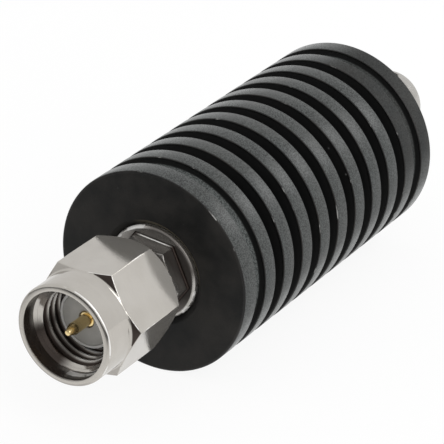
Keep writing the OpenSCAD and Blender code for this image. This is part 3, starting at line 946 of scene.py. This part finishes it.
def neck_fillet(across_flats, turn_deg, seat_end, radius):
    stretch = 1 / math.cos(math.radians(30))
    flat_r = across_flats / 2
    reach = radius + 0.02
    foot = [(flat_r - 0.05, -reach), (flat_r, -reach), (flat_r, 0.0), (flat_r + reach, 0.0),
            (flat_r + reach, 0.03), (flat_r - 0.05, 0.03)]
    fillet = begin_piece()
    corners = lay_profile(fillet, [(r * stretch, seat_end + y) for r, y in foot])
    round_corners(fillet, [corners[2]], radius, segments=5, worn=0.0)
    bmesh.ops.rotate(fillet, verts=list(fillet.verts), cent=(0, 0, 0),
                     matrix=Matrix.Rotation(math.radians(-turn_deg), 3, "Y"))
    turn_profile(fillet, steps=6)
    return fillet


print("wrench neck helpers ready")

# %% Set the neck on the plug's body
# Painted shade on the flange's face, the neck and the fillet, and painted highlights on the flange's rim.
flange_shade = 0.65
flange_shade_side = (52, 34, 20)
flange_highlight_right = (-40, 28, 12)
flange_highlight_left = (130, 28, 12)
neck_shade = 0.48
right_shade = 0.82
front_shade = 0.35
top_shade = 0.6
plug_chamfer_r = 2.95
plug_chamfer_lean = 35
fillet_r = 0.16
flat_rim_r = flange_r - flange_round + 2 * near

tint_and_shade = bm.verts.layers.float["tint_and_shade"]
for v in bm.verts:
    from_face = v.co.y / mm - flange_y
    # The flange: painted shade on one side of its face, painted highlights on its rim on two sides.
    if -near < from_face < flange_round - 2 * near and radius_of(v) > flat_rim_r:
        v[tint_and_shade] = flange_shade * turn_share(v, *flange_shade_side)
        v[edge] = max(turn_share(v, *flange_highlight_right), turn_share(v, *flange_highlight_left))
add_shell(bm, wrench_neck(plug_neck_af, neck_turn, neck_y, flange_y, plug_chamfer_r, plug_chamfer_lean))
neck = [v for v in bm.verts if neck_y - 0.05 < v.co.y / mm < flange_y + 0.02 and radius_of(v) < flat_rim_r]
for v in neck:
    v[edge] = 0.0
# The neck carries painted shade, stronger on its right flats, lighter at their front.
mark_tint_and_shade(bm, neck, neck_shade)
right_flats = [v for v in neck if neck_turn - 120 < turn_of(v) < neck_turn + 0.1]
mark_tint_and_shade(bm, right_flats, right_shade)
right_front = [v for v in right_flats if turn_of(v) < neck_turn - 1 and v.co.y / mm < neck_y + 0.25]
mark_tint_and_shade(bm, right_front, front_shade)

fillet = neck_fillet(plug_neck_af, neck_turn, flange_y, fillet_r)
lengthways = [e for e in fillet.edges if abs(turn_of(e.verts[0]) - turn_of(e.verts[1])) > 1]
bmesh.ops.subdivide_edges(fillet, edges=lengthways, cuts=6, use_grid_fill=True)
# The fillet carries painted shade, lighter on the upper flat, with a painted highlight line there.
mark_tint_and_shade(fillet, fillet.verts, 1.0)
upper_flat = [v for v in fillet.verts if neck_turn + 1 < turn_of(v) < neck_turn + 59]
mark_tint_and_shade(fillet, upper_flat, top_shade)
highlight_line = [v for v in upper_flat if -0.1 < v.co.y / mm - flange_y < -0.02]
mark_tint_and_shade(fillet, highlight_line, 0.0)
for v in highlight_line:
    v[fillet.verts.layers.float["edge"]] = 1.0
add_shell(bm, fillet)
show_piece(bm, "plug_turned", "plug_body", "body", body_steel)

# %% [markdown]
# ## Insulators and contacts
# Inside each connector a white insulator carries the centre contact. The plug's contact ends in a
# pointed pin, and the jack's in a socket with four spring fingers. The fingers are quarter turns
# of one profile with a slit between them, so they spin through a part of a circle and stay closed
# solids.

# %% Turn the insulators
insulator_r = 2.05
shoulder_r = 2.35
contact_bore_r = 0.655
contact_r = 0.635
end_play = 0.02
overlap = 0.02


def turn_insulator(name, node, face, step, stop):
    bm = begin_piece()
    corners = lay_profile(bm, [(contact_bore_r, face), (insulator_r, face), (insulator_r, step),
                               (shoulder_r, step), (shoulder_r, stop), (contact_bore_r, stop)])
    round_corners(bm, [corners[0], corners[1]], 0.04, segments=2)
    turn_profile(bm)
    show_piece(bm, name, node, "body", insulator_white)


jack_low, jack_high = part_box("jack_body")
jack_end = jack_high.y / mm
jack_plane = jack_end - barrel_len
jack_inner = jack_low.y / mm
jack_shoulder_y = jack_inner + shoulder_len
turn_insulator("plug_bead", "plug_insulator", 0.0, plug_shoulder_y + end_play, plug_end)
turn_insulator("jack_bead", "jack_insulator", jack_plane, jack_shoulder_y - end_play, jack_inner)

# %% Turn the pin
pin_low, pin_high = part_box("plug_contact")
pin_r = 0.457
pin_tip_y = pin_low.y / mm
tip_len = 0.7
tip_r = 0.21
tab_end = pin_high.y / mm

bm = begin_piece()
corners = lay_profile(bm, [(0.0, pin_tip_y), (tip_r, pin_tip_y), (pin_r, pin_tip_y + tip_len),
                           (pin_r, 0.0), (contact_r, 0.0), (contact_r, plug_end), (0.0, plug_end)])
round_corners(bm, [corners[1]], 0.03, segments=2)
round_corners(bm, [corners[2]], 0.02, segments=2)
round_corners(bm, [corners[4]], 0.09, segments=3)
turn_profile(bm, steps=96)


def half_tab(bm, start, stop):
    tab = begin_piece()
    lay_profile(tab, [(0.0, start), (contact_r, start), (contact_r, stop), (0.0, stop)])
    turn_profile(tab, steps=96)
    whole = list(tab.verts) + list(tab.edges) + list(tab.faces)
    cut = bmesh.ops.bisect_plane(tab, geom=whole, dist=1e-5 * mm, clear_outer=True,
                                 plane_co=(0, 0, 0), plane_no=(0, 0, -1))
    rim = [e for e in cut["geom_cut"] if isinstance(e, bmesh.types.BMEdge)]
    bmesh.ops.holes_fill(tab, edges=rim, sides=0)
    bmesh.ops.recalc_face_normals(tab, faces=list(tab.faces))
    add_shell(bm, tab)


half_tab(bm, plug_end - overlap, tab_end)
show_piece(bm, "plug_pin", "plug_contact", "body", gold)

# %% Turn the slit socket
socket_r = 0.47
socket_depth = 2.7
slit_depth = 2.0
slit_w = 0.13
drill_cone = 0.28
jack_tab_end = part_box("jack_contact")[0].y / mm
finger_y = jack_plane - slit_depth

bm = begin_piece()
lay_profile(bm, [(0.0, jack_inner), (contact_r, jack_inner), (contact_r, finger_y), (socket_r, finger_y),
                 (socket_r, jack_plane - socket_depth), (0.0, jack_plane - socket_depth - drill_cone)])
turn_profile(bm, steps=96)
half_gap = math.asin(slit_w / 2 / contact_r)
for k in range(4):
    finger = begin_piece()
    corners = lay_profile(finger, [(socket_r, finger_y - 0.01), (contact_r, finger_y - 0.01),
                                   (contact_r, jack_plane), (socket_r, jack_plane)])
    round_corners(finger, [corners[2], corners[3]], 0.05, segments=2)
    first = math.radians(45 + 90 * k) + half_gap
    bmesh.ops.rotate(finger, verts=list(finger.verts), cent=(0, 0, 0),
                     matrix=Matrix.Rotation(first, 3, "Y"))
    profile = list(finger.verts) + list(finger.edges) + list(finger.faces)
    bmesh.ops.spin(finger, geom=profile, cent=(0, 0, 0), axis=(0, 1, 0), dvec=(0, 0, 0),
                   angle=math.pi / 2 - 2 * half_gap, steps=16, use_merge=False, use_duplicate=False)
    bmesh.ops.recalc_face_normals(finger, faces=list(finger.faces))
    add_shell(bm, finger)
half_tab(bm, jack_tab_end, jack_inner + overlap)
show_piece(bm, "jack_socket", "jack_contact", "body", gold)

# %% [markdown]
# ## The jack's body
# The same kind of piece as the plug's body, with an outside thread for the next nut, a plain
# lead-in in front of it and a counterbore that takes a plug's bare end. The thread is a real ridge
# on a core of its root size.

# %% Turn the jack's body
jack_flange_y = sink_end + 0.05
jack_neck_end = jack_flange_y + 1.7
thread_y = jack_neck_end + 0.6
pilot_y = jack_end - 0.6
jack_major_r = 3.175
jack_minor_r = 2.72
pilot_r = 2.65
jack_relief_r = 2.7
counterbore_r = 2.31
jack_seat_y = sink_end - seat_depth
jack_neck_af = 6.4
jack_chamfer_r = 3.2
jack_chamfer_lean = 30
relief_shade = 0.8

outline = [(spigot_r, jack_inner), (spigot_r, jack_seat_y), (flange_r, jack_seat_y),
           (flange_r, jack_flange_y), (jack_relief_r, jack_flange_y), (jack_relief_r, thread_y),
           (jack_minor_r, thread_y + 0.02), (jack_minor_r, pilot_y - 0.1), (pilot_r, pilot_y),
           (pilot_r, jack_end), (counterbore_r, jack_end), (counterbore_r, jack_plane),
           (insulator_bore_r, jack_plane), (insulator_bore_r, jack_shoulder_y),
           (shoulder_bore_r, jack_shoulder_y), (shoulder_bore_r, jack_inner)]
bm = begin_piece()
corners = lay_profile(bm, outline)
round_corners(bm, [corners[3]], 0.28, segments=5)
round_corners(bm, [corners[9]], 0.14, segments=4, worn=0.0)
round_corners(bm, [corners[10]], 0.06, segments=2)
# The relief between the flange and the thread is darkened as painted shade.
mark_tint_and_shade(bm, corners[4:7], relief_shade)
turn_profile(bm)
add_shell(bm, wrench_neck(jack_neck_af, neck_turn, jack_neck_end, jack_flange_y,
                          jack_chamfer_r, jack_chamfer_lean))


def jack_lead(r, y):
    front = pilot_r + max(0.0, pilot_y - y)
    rear = jack_relief_r + max(0.0, y - thread_y)
    return min(r, front, rear)


turns = cut_thread(bm, jack_minor_r, jack_major_r, thread_y + 0.1, pilot_y - 0.6, jack_lead)
print("jack thread of", round(turns, 1), "turns")
show_piece(bm, "jack_turned", "jack_body", "body", body_steel)

# %% [markdown]
# ## The pieces inside
# The split carrier, the ceramic card and the open ring behind the nut are out of sight, and their
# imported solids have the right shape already. Modelling them again would add nothing, so they stay
# and only take their finishes.

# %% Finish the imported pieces
inside_finish = {"carrier_lower": brass, "carrier_upper": brass, "attenuator_card": card_ceramic,
                 "retaining_ring": bronze}
for node, finish in inside_finish.items():
    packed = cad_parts[node]
    packed.data.materials.clear()
    packed.data.materials.append(finish)
print("finished", ", ".join(inside_finish))
